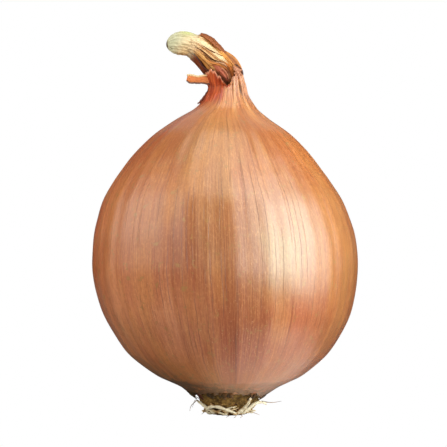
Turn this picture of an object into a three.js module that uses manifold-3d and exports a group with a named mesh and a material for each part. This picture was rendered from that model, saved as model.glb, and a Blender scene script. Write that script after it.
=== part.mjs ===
// A yellow onion standing on its root tuft, in millimetres with +Z up. X runs to the viewer's right and Y
// away from the viewer. The origin is on the resting surface, under the middle of the bulb's widest ring.
import * as THREE from "three";
import { mergeVertices } from "three/addons/utils/BufferGeometryUtils.js";
import Module from "manifold-3d";

const wasm = await Module();
wasm.setup();

// Driving dimensions
const EQUATOR_RADIUS = 39.8;
const EQUATOR_HEIGHT = 46;
const WAIST_RADIUS = 5.7;
const WAIST_HEIGHT = 98;
const BASE_RIM_RADIUS = 10.6;
const BASE_RIM_HEIGHT = 5.4;
const ROOT_CENTRE_X = 1.3;
const PAPER = 0.7;
const CLEARANCE = 0.3;
const SEED = 20;

// Ribs of the papery scale, which run from root to neck and gather into pleats at the waist
const RIB_COUNT = 34;
const RIB_HEIGHT = 0.26;
const RIB_HALF_WIDTH = 0.24;
const RIB_FADE = 8;
const PLEAT_HEIGHT = 0.36;
const PLEAT_REACH = 14;
const SMOOTH_PATCH_FACING = 232;
const SMOOTHING = 0.6;
const DEPTH_SHARE = 0.985;
const LOBE_SHARE = 0.004;

// The outline of the scale from its lower rim to its waist, as [share of the equator's radius, share of the
// height from lower rim to equator, or from equator to waist]
const LOWER_OUTLINE = [
  [0.27, 0], [0.369, 0.066], [0.462, 0.111], [0.55, 0.155], [0.671, 0.244], [0.766, 0.333], [0.857, 0.468],
  [0.927, 0.601], [0.972, 0.734], [1, 1],
];
const UPPER_OUTLINE = [
  [0.985, 0.138], [0.95, 0.242], [0.9, 0.348], [0.818, 0.452], [0.754, 0.521], [0.686, 0.59], [0.603, 0.66],
  [0.505, 0.729], [0.377, 0.798], [0.31, 0.833], [0.246, 0.867], [0.198, 0.908], [0.157, 0.96],
];
const BODY_ROWS = 25;

// Where the middle of each ring stands, as [height, x]: the bulb leans a little to the left as it rises
const CENTRE_LINE = [
  [0, ROOT_CENTRE_X], [9, 1.6], [20, 1], [EQUATOR_HEIGHT, 0.1], [74, -0.9], [87, -0.6], [93.5, 0.7],
  [WAIST_HEIGHT, 0.9],
];

// The torn upper rim of the scale, as [degrees round from +X, height above the waist]. The notch in it faces
// the viewer, and the rim stands off the neck at the front left.
const TORN_RIM = [
  [0, 0.1], [45, 1.2], [95, 0.6], [140, 1.6], [178, 2.4], [205, 3.8], [228, 4.4], [249, 2.6], [270, 0.3],
  [300, 1.1], [330, 0.2],
];
const RIM_STEP = 0.4;
const RIM_FLARE = 1.2;
const RIM_TUCK = 0.6;
const FLARE_FACING = 228;

// The lower rim, as [degrees round from +X, height above its lowest point]: it is torn away highest towards
// the viewer, where the root plate shows under it
const LOWER_RIM = [[0, 0], [90, 0.2], [180, 0.4], [215, 1.3], [262, 1.75], [300, 1.4], [335, 0.2]];
const LOWER_RIM_SLANT = 1.45;

// Waves that make the torn rims ragged, as [waves round the rim, height, start in radians]
const UPPER_RAGS = [[13, 0.3, 0], [29, 0.25, 1]];
const LOWER_RAGS = [[5, 0.2, 0.6], [17, 0.2, 0]];

// The well in the waist that the neck grows out of
const WELL_FLOOR = 94;
const WELL_RADIUS = 4.95;

// The root plate and the tuft
const PLATE_TOP = 7.4;
const PLATE_BOTTOM = 1.9;
const PLATE_RADIUS = 9.1;
const PLATE_FOOT_RADIUS = 6.6;
const PLATE_SHOULDER = 5.1;
const PLATE_TOP_RADIUS = 11.5;
const PLATE_ROWS = 9;
const RECESS_SPARE = 0.7;
const SCAR_COUNT = 20;
const SCAR_DEPTH = 0.22;
const SCAR_SLANT = 2.2;
const MAT_RADIUS = 6.3;
const MAT_FOOT_RADIUS = 5.4;
const ROOT_COUNT = 18;
const ROOT_RADIUS = 0.48;
const ROOT_TAPER = 0.5;
const ROOT_START = [4.4, 0.8];
const SPLAY_RADIUS = 8.2;

// The longest roots on the side towards the viewer, as rows of [x, y, z]
const LONG_ROOTS = [
  [[-2, -3, 0.8], [-3.6, -4.8, 1], [-5.7, -4.9, 2.6], [-8.2, -2.4, 4.1]],
  [[-2.8, -3, 0.8], [-4.6, -4.4, 0.7], [-4.9, -5.1, 2], [-3.4, -7.2, 2.9], [-0.8, -8.3, 2.6], [3.4, -7.4, 1]],
  [[3, -3.8, 0.8], [4, -6.5, 0.9], [5.6, -8, 2.4], [6.7, -9.9, 3.8], [7.6, -12, 5.9]],
  [[4, -3.5, 0.8], [5.7, -6, 1], [7.9, -5.9, 2.8], [9.5, -5.5, 3.8], [11.3, -5.2, 3.9], [12.5, -4.7, 3.4]],
];

// The dried neck, a bundle of leaf sheaths bent over to the left, as [x, y, z, half width]
const NECK_LINE = [
  [0.8, 0, 94.5, 4], [0.85, 0, 98, 4.4], [0.7, 0, 100.4, 5.4], [-0.7, 0, 103.1, 5.6],
  [-3.5, -0.4, 105.8, 4.7], [-6, -0.8, 108.1, 4.3], [-8.5, -1.1, 109.9, 4.2], [-10.7, -1.3, 110.6, 3.8],
];
const NECK_DEPTH_SHARE = 0.86;
const NECK_TWIST = 1.25;
const FOLD_COUNT = 9;
const FOLD_DEPTH = 0.7;
const FOLD_ROUNDING = 0.25;

// Bands of sheath that stand proud of the neck, as [degrees round it at its foot, from, to, half width in
// degrees, lift]. From and to are shares of its length, and 0 degrees is the outside of the bend.
const BANDS = [
  [-22, 0.34, 0.95, 24, 0.5], [-88, 0.1, 0.52, 17, 0.6], [60, 0.3, 1.1, 30, 0.45], [150, 0.2, 0.9, 22, 0.4],
];

// The pale end of the inner leaves, which stands out of the sheaths, as [x, y, z, half width]
const TIP_LINE = [
  [-7.4, -1, 109.6, 3], [-9.6, -1.2, 110.4, 3.4], [-12, -1.4, 110.9, 3.5], [-14.3, -1.7, 110.75, 3.3],
  [-17.4, -2, 110.4, 3],
];
const TIP_ROUNDING = 0.62;

// A rust-brown flap of outer scale that lies along the top of the neck, as [x, y, z, half width]
const FLAP_LINE = [
  [-7.2, -2.3, 113.6, 0.8], [-5.3, -2.4, 112.9, 1.3], [-3.4, -2.3, 111.5, 1.5], [-1.6, -2.1, 109.8, 1.3],
  [0.3, -1.9, 107.9, 0.8],
];
const FLAP_HALF_THICKNESS = 0.5;
const FLAP_ACROSS = new THREE.Vector3(0.4, 0.8, 0.45);

// The strip of scale torn out to the left at the rim, as [x, y, z, half width]
const STRIP_LINE = [
  [-3.6, -2.6, 99.9, 1.5], [-5.6, -3, 100, 1.3], [-8, -3.1, 99.9, 1.05], [-10, -3.2, 100.1, 1.25],
  [-11.2, -3.3, 100.4, 0.9],
];
const STRIP_HALF_THICKNESS = 0.42;

const UP = new THREE.Vector3(0, 0, 1);
const BACK = new THREE.Vector3(0, 1, 0);
const FULL_TURN = 2 * Math.PI;
const { clamp, degToRad, lerp, radToDeg, smoothstep } = THREE.MathUtils;

// The same random draws on every run
function seededRandom(seed) {
  let state = seed;
  return () => {
    state = (state + 0x6d2b79f5) | 0;
    let mixed = Math.imul(state ^ (state >>> 15), 1 | state);
    mixed = (mixed + Math.imul(mixed ^ (mixed >>> 7), 61 | mixed)) ^ mixed;
    return ((mixed ^ (mixed >>> 14)) >>> 0) / 4294967296;
  };
}
const random = seededRandom(SEED);
const between = (low, high) => lerp(low, high, random());

// A closed mesh as a solid, and a solid as a geometry with flat faces
function solidOf(geometry) {
  geometry.deleteAttribute("normal");
  geometry.deleteAttribute("uv");
  const merged = mergeVertices(geometry, 1e-4);
  return new wasm.Manifold(new wasm.Mesh({
    numProp: 3,
    vertProperties: merged.getAttribute("position").array,
    triVerts: new Uint32Array(merged.index.array),
  }));
}

function geometryOf(solid) {
  const mesh = solid.getMesh();
  const geometry = new THREE.BufferGeometry();
  geometry.setAttribute("position", new THREE.BufferAttribute(mesh.vertProperties, 3));
  geometry.setIndex(new THREE.BufferAttribute(mesh.triVerts, 1));
  const faceted = geometry.toNonIndexed();
  faceted.computeVertexNormals();
  return faceted;
}

// The value at x of a smooth line through [x, value] pairs, held level past its ends
function valueAlong(pairs, x) {
  if (x <= pairs[0][0]) return pairs[0][1];
  for (let i = 1; i < pairs.length; i++) {
    const [x0, low] = pairs[i - 1];
    const [x1, high] = pairs[i];
    if (x <= x1) return lerp(low, high, smoothstep(x, x0, x1));
  }
  return pairs[pairs.length - 1][1];
}

// A closed tube along a curve. radiusAt(angle, t) is its wall, with angle 0 on the outside of the bend.
function sweep(curve, sides, rows, radiusAt, side = BACK) {
  const tube = new THREE.CylinderGeometry(1, 1, 1, sides, rows);
  const position = tube.getAttribute("position");
  const local = new THREE.Vector3();
  for (let i = 0; i < position.count; i++) {
    local.fromBufferAttribute(position, i);
    const t = clamp(local.y + 0.5, 0, 1);
    const angle = Math.atan2(local.x, local.z);
    const wall = Math.hypot(local.x, local.z) * radiusAt(angle, t);
    const along = curve.getTangentAt(t);
    const across = side.clone().addScaledVector(along, -side.dot(along)).normalize();
    const outward = across.clone().cross(along);
    const point = curve.getPointAt(t).addScaledVector(outward, wall * Math.cos(angle))
      .addScaledVector(across, wall * Math.sin(angle));
    position.setXYZ(i, point.x, point.y, point.z);
  }
  return tube;
}

// A curve through rows of [x, y, z], which starts `extra` before the first
function curveThrough(rows, extra = 0) {
  const points = rows.map(([x, y, z]) => new THREE.Vector3(x, y, z));
  const backwards = points[0].clone().sub(points[1]).normalize();
  points[0].addScaledVector(backwards, extra);
  return new THREE.CatmullRomCurve3(points, false, "centripetal");
}

// The curve through a table of [x, y, z, half width], and the half width along it
function lineOf(table, extra = 0) {
  const widths = new THREE.SplineCurve(table.map(([, , , width], i) => new THREE.Vector2(i, width)));
  const curve = curveThrough(table, extra);
  return { curve, widthAt: (t) => widths.getPoint(curve.getUtoTmapping(t)).y };
}

// The wall of an oval section with the two half sizes given
function oval(angle, halfThickness, halfWidth) {
  return 1 / Math.hypot(Math.cos(angle) / halfThickness, Math.sin(angle) / halfWidth);
}

// From 1 where an angle faces the given direction to 0 where it faces away
function facingShare(angle, degrees) {
  return 0.5 + 0.5 * Math.cos(angle - degToRad(degrees));
}

// The bulb: columns of the mesh stand on each rib's ridge and on its two feet
const ribs = Array.from({ length: RIB_COUNT }, (_, i) => ({
  angle: ((i + between(-0.25, 0.25)) / RIB_COUNT) * FULL_TURN,
  height: between(0.55, 1.25),
}));
const columns = ribs.flatMap(({ angle, height }) => {
  const foot = (RIB_HALF_WIDTH / RIB_COUNT) * FULL_TURN;
  return [{ angle: angle - foot, relief: 0 }, { angle, relief: height }, { angle: angle + foot, relief: 0 }];
});

function scaleOutline() {
  const lower = LOWER_OUTLINE.map(([share, rise]) => new THREE.Vector2(
    share * EQUATOR_RADIUS, lerp(BASE_RIM_HEIGHT, EQUATOR_HEIGHT, rise)));
  const upper = UPPER_OUTLINE.map(([share, rise]) => new THREE.Vector2(
    share * EQUATOR_RADIUS, lerp(EQUATOR_HEIGHT, WAIST_HEIGHT, rise)));
  return new THREE.SplineCurve([...lower, ...upper, new THREE.Vector2(WAIST_RADIUS, WAIST_HEIGHT)]);
}

function valueRound(pairs, angle) {
  const degrees = ((radToDeg(angle) % 360) + 360) % 360;
  const [[, start]] = pairs;
  return valueAlong([...pairs, [360, start]], degrees);
}

function raggedness(angle, rags) {
  return rags.reduce((sum, [waves, height, start]) => sum + height * Math.sin(waves * angle + start), 0);
}

// Each row of the lathe: its radius, its height, and how it follows the torn rims and the ribs
function scaleRows() {
  const outline = scaleOutline();
  const ceiling = PLATE_TOP + CLEARANCE + 0.1;
  const rows = [
    { radius: 0, height: ceiling },
    { radius: PLATE_TOP_RADIUS + CLEARANCE + RECESS_SPARE, height: ceiling },
    { radius: PLATE_RADIUS + RECESS_SPARE, height: BASE_RIM_HEIGHT, base: 1 },
    { radius: BASE_RIM_RADIUS, height: BASE_RIM_HEIGHT, base: 1 },
  ];
  for (let i = 1; i <= BODY_ROWS; i++) {
    const { x, y } = outline.getPointAt(i / BODY_ROWS);
    rows.push({ radius: x, height: y, ribs: 1, body: 1 });
  }
  rows.push(
    { radius: WAIST_RADIUS + 0.4 * RIM_STEP, height: WAIST_HEIGHT, rim: 0.55, ribs: 1 },
    { radius: WAIST_RADIUS + RIM_STEP, height: WAIST_HEIGHT, rim: 1, ribs: 1 },
    { radius: WAIST_RADIUS + RIM_STEP - PAPER, height: WAIST_HEIGHT, rim: 1, ribs: 0.6 },
    { radius: WELL_RADIUS + 0.1, height: WAIST_HEIGHT, rim: 0.3 },
    { radius: WELL_RADIUS, height: WAIST_HEIGHT - 2 },
    { radius: WELL_RADIUS - 0.2, height: WELL_FLOOR },
    { radius: 0, height: WELL_FLOOR },
  );
  return rows;
}

function scalePoint({ angle, relief }, row) {
  const { rim = 0, base = 0, ribs: ribShare = 0, body = 0 } = row;
  const facing = facingShare(angle, FLARE_FACING);
  const upperTear = valueRound(TORN_RIM, angle) + lerp(0.4, 1, facing) * raggedness(angle, UPPER_RAGS);
  const lowerTear = base * (valueRound(LOWER_RIM, angle) + raggedness(angle, LOWER_RAGS));
  const height = row.height + rim * upperTear + lowerTear;
  const gathered = smoothstep(height, WAIST_HEIGHT - PLEAT_REACH, WAIST_HEIGHT - 1);
  const spread = smoothstep(height, BASE_RIM_HEIGHT, BASE_RIM_HEIGHT + RIB_FADE);
  const pleatHeight = PLEAT_HEIGHT * (1 - SMOOTHING * Math.pow(facingShare(angle, SMOOTH_PATCH_FACING), 2));
  const ribHeight = lerp(RIB_HEIGHT * spread, pleatHeight, gathered);
  const flare = rim * lerp(-RIM_TUCK, RIM_FLARE, facing * facing) + lowerTear * LOWER_RIM_SLANT;
  const roundness = 1 + body * (1 - gathered) * LOBE_SHARE * Math.sin(3 * angle);
  const radius = row.radius * roundness + ribShare * relief * ribHeight + flare;
  const x = valueAlong(CENTRE_LINE, height) + radius * Math.cos(angle);
  return new THREE.Vector3(x, radius * DEPTH_SHARE * Math.sin(angle), height);
}

function bulbBody() {
  const rows = scaleRows();
  const outline = rows.map(({ radius, height }) => new THREE.Vector2(radius, height));
  const lathe = new THREE.LatheGeometry(outline, columns.length);
  const position = lathe.getAttribute("position");
  for (let i = 0; i < position.count; i++) {
    const column = columns[Math.floor(i / rows.length) % columns.length];
    const point = scalePoint(column, rows[i % rows.length]);
    position.setXYZ(i, point.x, point.y, point.z);
  }
  return solidOf(lathe);
}

// The bulb's scale with the strip that is torn out of its rim, trimmed clear of the neck
function bulb() {
  const { curve, widthAt } = lineOf(STRIP_LINE);
  const strip = sweep(curve, 8, 12, (angle, t) => oval(angle, STRIP_HALF_THICKNESS, widthAt(t)), UP);
  const well = new THREE.CylinderGeometry(WELL_RADIUS, WELL_RADIUS, 12, 24).rotateX(Math.PI / 2)
    .translate(valueAlong(CENTRE_LINE, WAIST_HEIGHT), 0, WAIST_HEIGHT);
  return bulbBody().add(solidOf(strip).subtract(solidOf(well))).subtract(neckBody(CLEARANCE));
}

// The neck: sheaths folded lengthwise and twisted, so the section has sharp valleys between round folds
function bandRelief(turned, t) {
  return BANDS.reduce((relief, [degrees, from, to, halfWidth, lift]) => {
    const away = turned - degToRad(degrees);
    const offset = Math.abs(Math.atan2(Math.sin(away), Math.cos(away)));
    const across = 1 - smoothstep(offset, 0.75 * degToRad(halfWidth), 1.25 * degToRad(halfWidth));
    const along = smoothstep(t, from, from + 0.1) * (1 - smoothstep(t, to - 0.12, to));
    return Math.max(relief, lift * across * along);
  }, 0);
}

function neckRadius(angle, t, widthAt, extra = 0) {
  const turned = angle + NECK_TWIST * t;
  const uneven = turned + 0.3 * Math.sin(2 * turned + 1) + 0.16 * Math.sin(3 * turned);
  const valley = 1 - Math.abs(Math.sin((FOLD_COUNT * uneven) / 2));
  const open = smoothstep(t, 0.14, 0.32);
  const depth = FOLD_DEPTH * open * valley * (0.7 + 0.3 * Math.sin(2 * turned));
  const round = oval(angle, widthAt(t), widthAt(t) * NECK_DEPTH_SHARE) - FOLD_ROUNDING;
  return round - depth + bandRelief(turned, t) * open + extra;
}

function neckBody(extra = 0) {
  const { curve, widthAt } = lineOf(NECK_LINE);
  return solidOf(sweep(curve, 54, 22, (angle, t) => neckRadius(angle, t, widthAt, extra)));
}

function tipBody(extra = 0) {
  const { curve, widthAt } = lineOf(TIP_LINE, extra);
  const wall = (angle, t) => {
    const past = Math.max(0, (t - TIP_ROUNDING) / (1 - TIP_ROUNDING));
    const rounded = Math.sqrt(Math.max(0.02, 1 - past * past));
    const wrinkle = 0.14 * Math.sin(9 * angle + 4 * t) * smoothstep(t, 0.2, 0.6) * rounded;
    return oval(angle, widthAt(t), widthAt(t) * NECK_DEPTH_SHARE) * rounded + wrinkle + extra;
  };
  return solidOf(sweep(curve, 26, 16, wall));
}

function flapBody() {
  const { curve, widthAt } = lineOf(FLAP_LINE);
  const wall = (angle, t) => {
    const ragged = 0.2 * Math.sin(19 * t) * Math.sin(angle);
    return oval(angle, FLAP_HALF_THICKNESS, widthAt(t) + ragged);
  };
  return solidOf(sweep(curve, 10, 14, wall, FLAP_ACROSS));
}

// The root plate: a squat bowl that spreads out under the scale, with slanting scars of old roots on it
function plateRadiusAt(height) {
  const rise = clamp((height - PLATE_BOTTOM) / (PLATE_SHOULDER - PLATE_BOTTOM), 0, 1);
  const spread = clamp((height - PLATE_SHOULDER) / (PLATE_TOP - PLATE_SHOULDER), 0, 1);
  const bowl = lerp(PLATE_FOOT_RADIUS, PLATE_RADIUS, Math.sin((rise * Math.PI) / 2));
  return lerp(bowl, PLATE_TOP_RADIUS, spread);
}

function basalPlateBody(extra = 0) {
  const outline = [new THREE.Vector2(0, PLATE_BOTTOM - extra)];
  for (let i = 0; i <= PLATE_ROWS; i++) {
    const height = lerp(PLATE_BOTTOM - extra, PLATE_TOP, i / PLATE_ROWS);
    outline.push(new THREE.Vector2(plateRadiusAt(height) + extra, height));
  }
  outline.push(new THREE.Vector2(0, PLATE_TOP));
  const lathe = new THREE.LatheGeometry(outline, 40).rotateX(Math.PI / 2);
  const position = lathe.getAttribute("position");
  for (let i = 0; i < position.count; i++) {
    const [x, y, z] = [position.getX(i), position.getY(i), position.getZ(i)];
    const angle = Math.atan2(y, x);
    const scarred = smoothstep(z, PLATE_BOTTOM, 3.5);
    const scar = SCAR_DEPTH * scarred * Math.abs(Math.sin((SCAR_COUNT / 2) * angle + SCAR_SLANT * z));
    const share = 1 - scar / Math.max(1, Math.hypot(x, y));
    position.setXYZ(i, ROOT_CENTRE_X + x * share, y * share, z);
  }
  return solidOf(lathe);
}

// One dried root: out of the mat, then up round the plate's flank or out along the resting surface
function shortRootPoints(index) {
  const start = ((index + between(-0.3, 0.3)) / ROOT_COUNT) * FULL_TURN;
  const climbs = index % 4 !== 3;
  const turn = between(0.2, 1.1) * (random() < 0.5 ? -1 : 1);
  const top = climbs ? between(2, 3.8) : between(0.6, 1.1);
  const steps = [[...ROOT_START, 0], [MAT_RADIUS + 0.4, climbs ? 1 : 0.75, 0.12]];
  for (const share of [0.45, 0.75, 1]) {
    const height = lerp(steps[1][1], top, share);
    const hugging = plateRadiusAt(height) + ROOT_RADIUS + CLEARANCE + between(0, 0.4);
    steps.push([climbs ? hugging : lerp(MAT_RADIUS, SPLAY_RADIUS, share), height, share]);
  }
  return steps.map(([radius, height, share]) => {
    const angle = start + turn * share;
    return [ROOT_CENTRE_X + radius * Math.cos(angle), radius * Math.sin(angle), height];
  });
}

function rootBody(points) {
  const thickness = ROOT_RADIUS * between(0.8, 1.05);
  const rows = Math.round(1.7 * points.length);
  const wall = (angle, t) => thickness * lerp(1, ROOT_TAPER, t * t);
  return solidOf(sweep(curveThrough(points), 5, rows, wall, UP));
}

function rootTuft() {
  const mat = new THREE.CylinderGeometry(MAT_RADIUS, MAT_FOOT_RADIUS, PLATE_BOTTOM - CLEARANCE, 22)
    .rotateX(Math.PI / 2).translate(ROOT_CENTRE_X, 0, (PLATE_BOTTOM - CLEARANCE) / 2);
  const shortRoots = Array.from({ length: ROOT_COUNT }, (_, i) => shortRootPoints(i));
  const roots = [...LONG_ROOTS, ...shortRoots].map(rootBody);
  const tuft = roots.reduce((body, root) => body.add(root), solidOf(mat));
  const ground = new THREE.BoxGeometry(60, 60, 10).translate(0, 0, -5);
  return tuft.subtract(solidOf(ground)).subtract(basalPlateBody(CLEARANCE));
}

// Colours and finish of each piece
const FINISHES = {
  bulb: { color: 0xc87f4d, roughness: 0.38 },
  neck: { color: 0xb98247, roughness: 0.7 },
  neck_tip: { color: 0xd9cfa0, roughness: 0.8 },
  neck_flap: { color: 0x99501f, roughness: 0.6 },
  basal_plate: { color: 0x5a4428, roughness: 0.9 },
  root_tuft: { color: 0xd8c69a, roughness: 0.85 },
};

function meshOf(name, solid) {
  const material = new THREE.MeshStandardMaterial({ ...FINISHES[name], metalness: 0 });
  const mesh = new THREE.Mesh(geometryOf(solid), material);
  mesh.name = name;
  return mesh;
}

const onion = new THREE.Group();
onion.name = "onion";
onion.add(
  meshOf("bulb", bulb()),
  meshOf("neck", neckBody().subtract(tipBody(CLEARANCE))),
  meshOf("neck_tip", tipBody()),
  meshOf("neck_flap", flapBody().subtract(neckBody(CLEARANCE)).subtract(tipBody(CLEARANCE))),
  meshOf("basal_plate", basalPlateBody()),
  meshOf("root_tuft", rootTuft()),
);

export default onion;
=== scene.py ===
# A yellow onion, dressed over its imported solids: satin papery scale, dried neck, root plate and roots
import math

import bpy
import numpy as np
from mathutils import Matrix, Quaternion, Vector


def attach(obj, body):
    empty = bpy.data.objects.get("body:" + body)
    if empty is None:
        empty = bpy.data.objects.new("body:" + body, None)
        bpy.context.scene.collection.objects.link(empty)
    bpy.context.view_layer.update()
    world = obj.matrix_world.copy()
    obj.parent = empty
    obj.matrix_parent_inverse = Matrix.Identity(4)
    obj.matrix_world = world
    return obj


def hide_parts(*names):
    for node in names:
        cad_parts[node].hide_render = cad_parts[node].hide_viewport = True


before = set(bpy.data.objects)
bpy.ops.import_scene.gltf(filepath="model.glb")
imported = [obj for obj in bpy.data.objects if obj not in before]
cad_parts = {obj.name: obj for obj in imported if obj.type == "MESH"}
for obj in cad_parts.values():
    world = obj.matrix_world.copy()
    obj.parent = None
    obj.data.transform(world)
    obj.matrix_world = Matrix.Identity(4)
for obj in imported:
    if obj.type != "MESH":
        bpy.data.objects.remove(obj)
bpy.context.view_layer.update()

MM = 0.001

# The camera stands level with the middle of the onion, with a long lens
LENS = 110
FRAME_WIDTH = 134.4
CAMERA_X = -0.3
CAMERA_Z = 57
SENSOR = 36

# The scale's outline, as in the solids: [share of the equator's radius, share of the rise]
EQUATOR_RADIUS = 39.8
EQUATOR_HEIGHT = 46
WAIST_RADIUS = 5.7
WAIST_HEIGHT = 98
BASE_RIM_HEIGHT = 5.4
DEPTH_SHARE = 0.985
LOWER_OUTLINE = [
    (0.27, 0), (0.369, 0.066), (0.462, 0.111), (0.55, 0.155), (0.671, 0.244), (0.766, 0.333),
    (0.857, 0.468), (0.927, 0.601), (0.968, 0.734), (0.993, 0.87), (1, 1),
]
UPPER_OUTLINE = [
    (0.985, 0.138), (0.95, 0.242), (0.9, 0.348), (0.818, 0.452), (0.754, 0.521), (0.686, 0.59),
    (0.603, 0.66), (0.505, 0.729), (0.377, 0.798), (0.31, 0.833), (0.246, 0.867), (0.198, 0.908),
    (0.157, 0.96),
]
CENTRE_LINE = [(0, 1.3), (9, 1.6), (20, 1), (46, 0.1), (74, -0.9), (87, -0.6), (93.5, 0.7), (98, 0.9)]
RIB_COUNT = 34
RIB_SEED = 20
RIB_HEIGHT = 0.16
RIB_HALF_WIDTH = 0.46
PLEAT_HEIGHT = 0.8
PLEAT_REACH = 14

# The torn upper rim, as [degrees round from +X, height above the waist]: on the right and at the back the
# scale runs on up the neck, and at the front left it stands off it
TORN_RIM = [
    (0, 3.5), (45, 3.3), (95, 2.2), (140, 1.8), (178, 2.6), (200, 3.6), (222, 4.5), (237, 4), (250, 2.4),
    (263, 0.3), (274, 0.2), (286, 2.2), (299, 3.9), (330, 3.8), (360, 3.5),
]
RIM_FLARE = 1.5
PAPER = 0.28

# Where the rim flares most, the torn patch lies and the shade-painted slit between two pleats runs, in
# degrees round
FLARE_FACING = 226
PATCH_FACING = 218
SLIT_FACING = 313

# The scale's mesh, and its lining, which runs down inside the torn rim to the neck's foot
SCALE_COLUMNS = 500
SCALE_ROWS = 150
RIM_ROWS = 21
LINING_ROWS = 8
LINING_RADIUS = 4.4
LINING_HEIGHT = 94.5

# The lower rim, torn away highest towards the viewer
LOWER_RIM = [(0, 0), (90, 0.2), (180, 0.4), (215, 1.3), (262, 1.75), (300, 1.4), (335, 0.2), (360, 0)]
LOWER_RIM_SLANT = 1.45

# The neck, its pale end, the flap on its top and the torn strip, as [x, y, z, half width]
NECK_LINE = [
    (0.8, 0, 94.5, 4), (0.85, 0, 98, 4.4), (0.7, 0, 100.4, 5.4), (-0.7, 0, 103.1, 5.6),
    (-3.5, -0.4, 105.8, 4.7), (-6, -0.8, 108.1, 4.3), (-8.5, -1.1, 109.9, 4.2), (-10.7, -1.3, 110.6, 3.8),
]
NECK_DEPTH_SHARE = 0.86
NECK_TWIST = 1.25
NECK_INSET = 0.3
NECK_MEAN_RADIUS = 4.6
NECK_ROWS = 150
NECK_SIDES = 220
FURROW_DEPTH = 0.5
FINE_FURROW_DEPTH = 0.25
STRAND_ROWS = 70
STRAND_COLUMNS = 15
# Strands lifted this far or more take neither the painted gap shade nor the browning at the neck's right
UNDARKENED_LIFT = 0.55
TIP_LINE = [
    (-7.4, -1, 109.6, 3), (-9.6, -1.2, 110.4, 3.4), (-12, -1.4, 110.9, 3.5), (-14.3, -1.7, 110.75, 3.3),
    (-17.4, -2, 110.4, 3),
]
TIP_ROWS = 90
TIP_SIDES = 120
TIP_ROUNDED_FROM = 0.62
FLAP_LINE = [
    (-7.2, -2.3, 113.6, 0.8), (-5.3, -2.4, 112.9, 1.3), (-3.4, -2.3, 111.5, 1.5), (-1.6, -2.1, 109.8, 1.3),
    (0.3, -1.9, 107.9, 0.8),
]
STRIP_LINE = [
    (-3.6, -2.6, 99.9, 1.5), (-5.6, -3, 100, 1.3), (-8, -3.1, 99.9, 1.05), (-10, -3.2, 100.1, 1.25),
    (-11.2, -3.3, 100.4, 0.9),
]

# The root plate, its mat of roots, the roots round it and the flakes over it
ROOT_CENTRE_X = 1.3
PLATE_TOP = 7.4
PLATE_BOTTOM = 1.9
PLATE_RADIUS = 9.1
PLATE_FOOT_RADIUS = 6.6
PLATE_SHOULDER = 5.1
PLATE_TOP_RADIUS = 11.7
MAT_RADIUS = 6.3
MAT_FOOT_RADIUS = 5.4
PLATE_SIDES = 180
PLATE_ROWS = 44
MAT_SIDES = 90
MAT_ROWS = 10
LONG_ROOT_RADIUS = 0.552
ROOT_SIDES = 9
ROOT_COUNT = 46
ROOT_SEED = 7
STUB_COUNT = 44
LOWEST_STUB = 0.35
SHARD_COUNT = 26
SHARD_SEED = 23
SHARD_CENTRE_X = 1.5
SHARD_RIM_RADIUS = 10.9

# The longest roots and the thin hairs at the lower edge, as rows of [x, y, z]
LONG_ROOTS = [
    [(-2, -3, 0.8), (-3.6, -4.8, 1), (-5.7, -4.9, 2.6), (-8.2, -2.4, 4.1)],
    [(-2.8, -3, 0.8), (-4.6, -4.4, 0.7), (-4.9, -5.1, 2), (-3.4, -7.2, 2.9), (-0.8, -8.3, 2.6),
     (3.4, -7.4, 1)],
    [(3, -3.8, 0.8), (4, -6.5, 0.9), (5.6, -8, 2.4), (6.7, -9.9, 3.8), (7.6, -12, 5.9)],
    [(4, -3.5, 0.8), (5.7, -6, 1), (7.9, -5.9, 2.8), (9.5, -5.5, 3.8), (11.3, -5.2, 3.9), (12.5, -4.7, 3.4)],
]
HAIR_RADIUS = 0.11
HAIRS = [
    [(1.6, -5.4, 0.6), (1.2, -8, 0.3), (0.4, -10.6, 0.15)],
    [(3, -5.6, 0.6), (3.4, -8.6, 0.3), (2.6, -11.6, 0.15)],
    [(4.4, -5.4, 0.6), (5.2, -8.4, 0.3), (4.6, -11, 0.15)],
    [(-6.4, -3, 2.6), (-8.6, -3.4, 4.4), (-9.6, -3.6, 2.2)],
    [(-8.4, -2, 4), (-9.9, -2.4, 2.6), (-10.4, -2.8, 1)],
    [(11, -3, 4), (14, -4, 3.7), (17, -4.6, 4.2)],
    [(-4, -5, 1), (-5.4, -7.4, 1.6), (-6.8, -8.4, 0.8)],
    [(6, -6, 1), (8, -8, 1.4), (10.4, -8.4, 0.6)],
]

# The floor, in metres: to all rays but the camera's it holds a painted pool of light under the onion and is
# dark past that patch
FLOOR_HALF = 4
FLOOR_DROP = 0.0003
GLOW_CENTRE = (0.026, -0.018, 0)
GLOW_REACH = (0.012, 0.043)
GLOW_SHADES = (0.9, 0.1)
ROOM_COLOUR = (0.07, 0.066, 0.06, 1)

# Light panels: [name, centre, target, width, height, radiance, tint, faded share of both sides, roll]
WHITE_LIGHT = (0.965, 1, 0.965)
WARM_LIGHT = (1, 0.95, 0.82)
PANELS = [
    ("softbox_right", (117, -88, 166), (0, 0, 166), 316, 324, 2.75, WHITE_LIGHT, (0.36, 0.02), -6),
    ("softbox_core", (123, -76, 89), (0, 0, 89), 186, 178, 2.5, WHITE_LIGHT, (0.5, 0.28), -10),
    ("softbox_left", (-172, -66, 166), (0, 0, 166), 360, 344, 1.64, WARM_LIGHT, (0.36, 0.36), 4),
    ("top", (0, -90, 400), (0, 0, 50), 320, 320, 1.4, (1, 0.95, 0.88), None, 0),
    ("back", (0, 260, 330), (0, 0, 60), 300, 240, 0.4, (1, 1, 1), None, 0),
]

# Fill lights, which leave no reflection: [name, centre, target, width, height, radiance]
FILLS = [
    ("fill_front", (-170, -390, 40), (0, 0, 50), 420, 300, 1.6),
    ("fill_left", (-300, -60, 160), (0, 0, 50), 200, 200, 1.9),
    ("fill_back", (-60, 420, 120), (0, 0, 50), 420, 300, 2.4),
    ("fill_low", (-16, -46, 1), (-16, -44, 30), 130, 60, 0.42),
]

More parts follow.
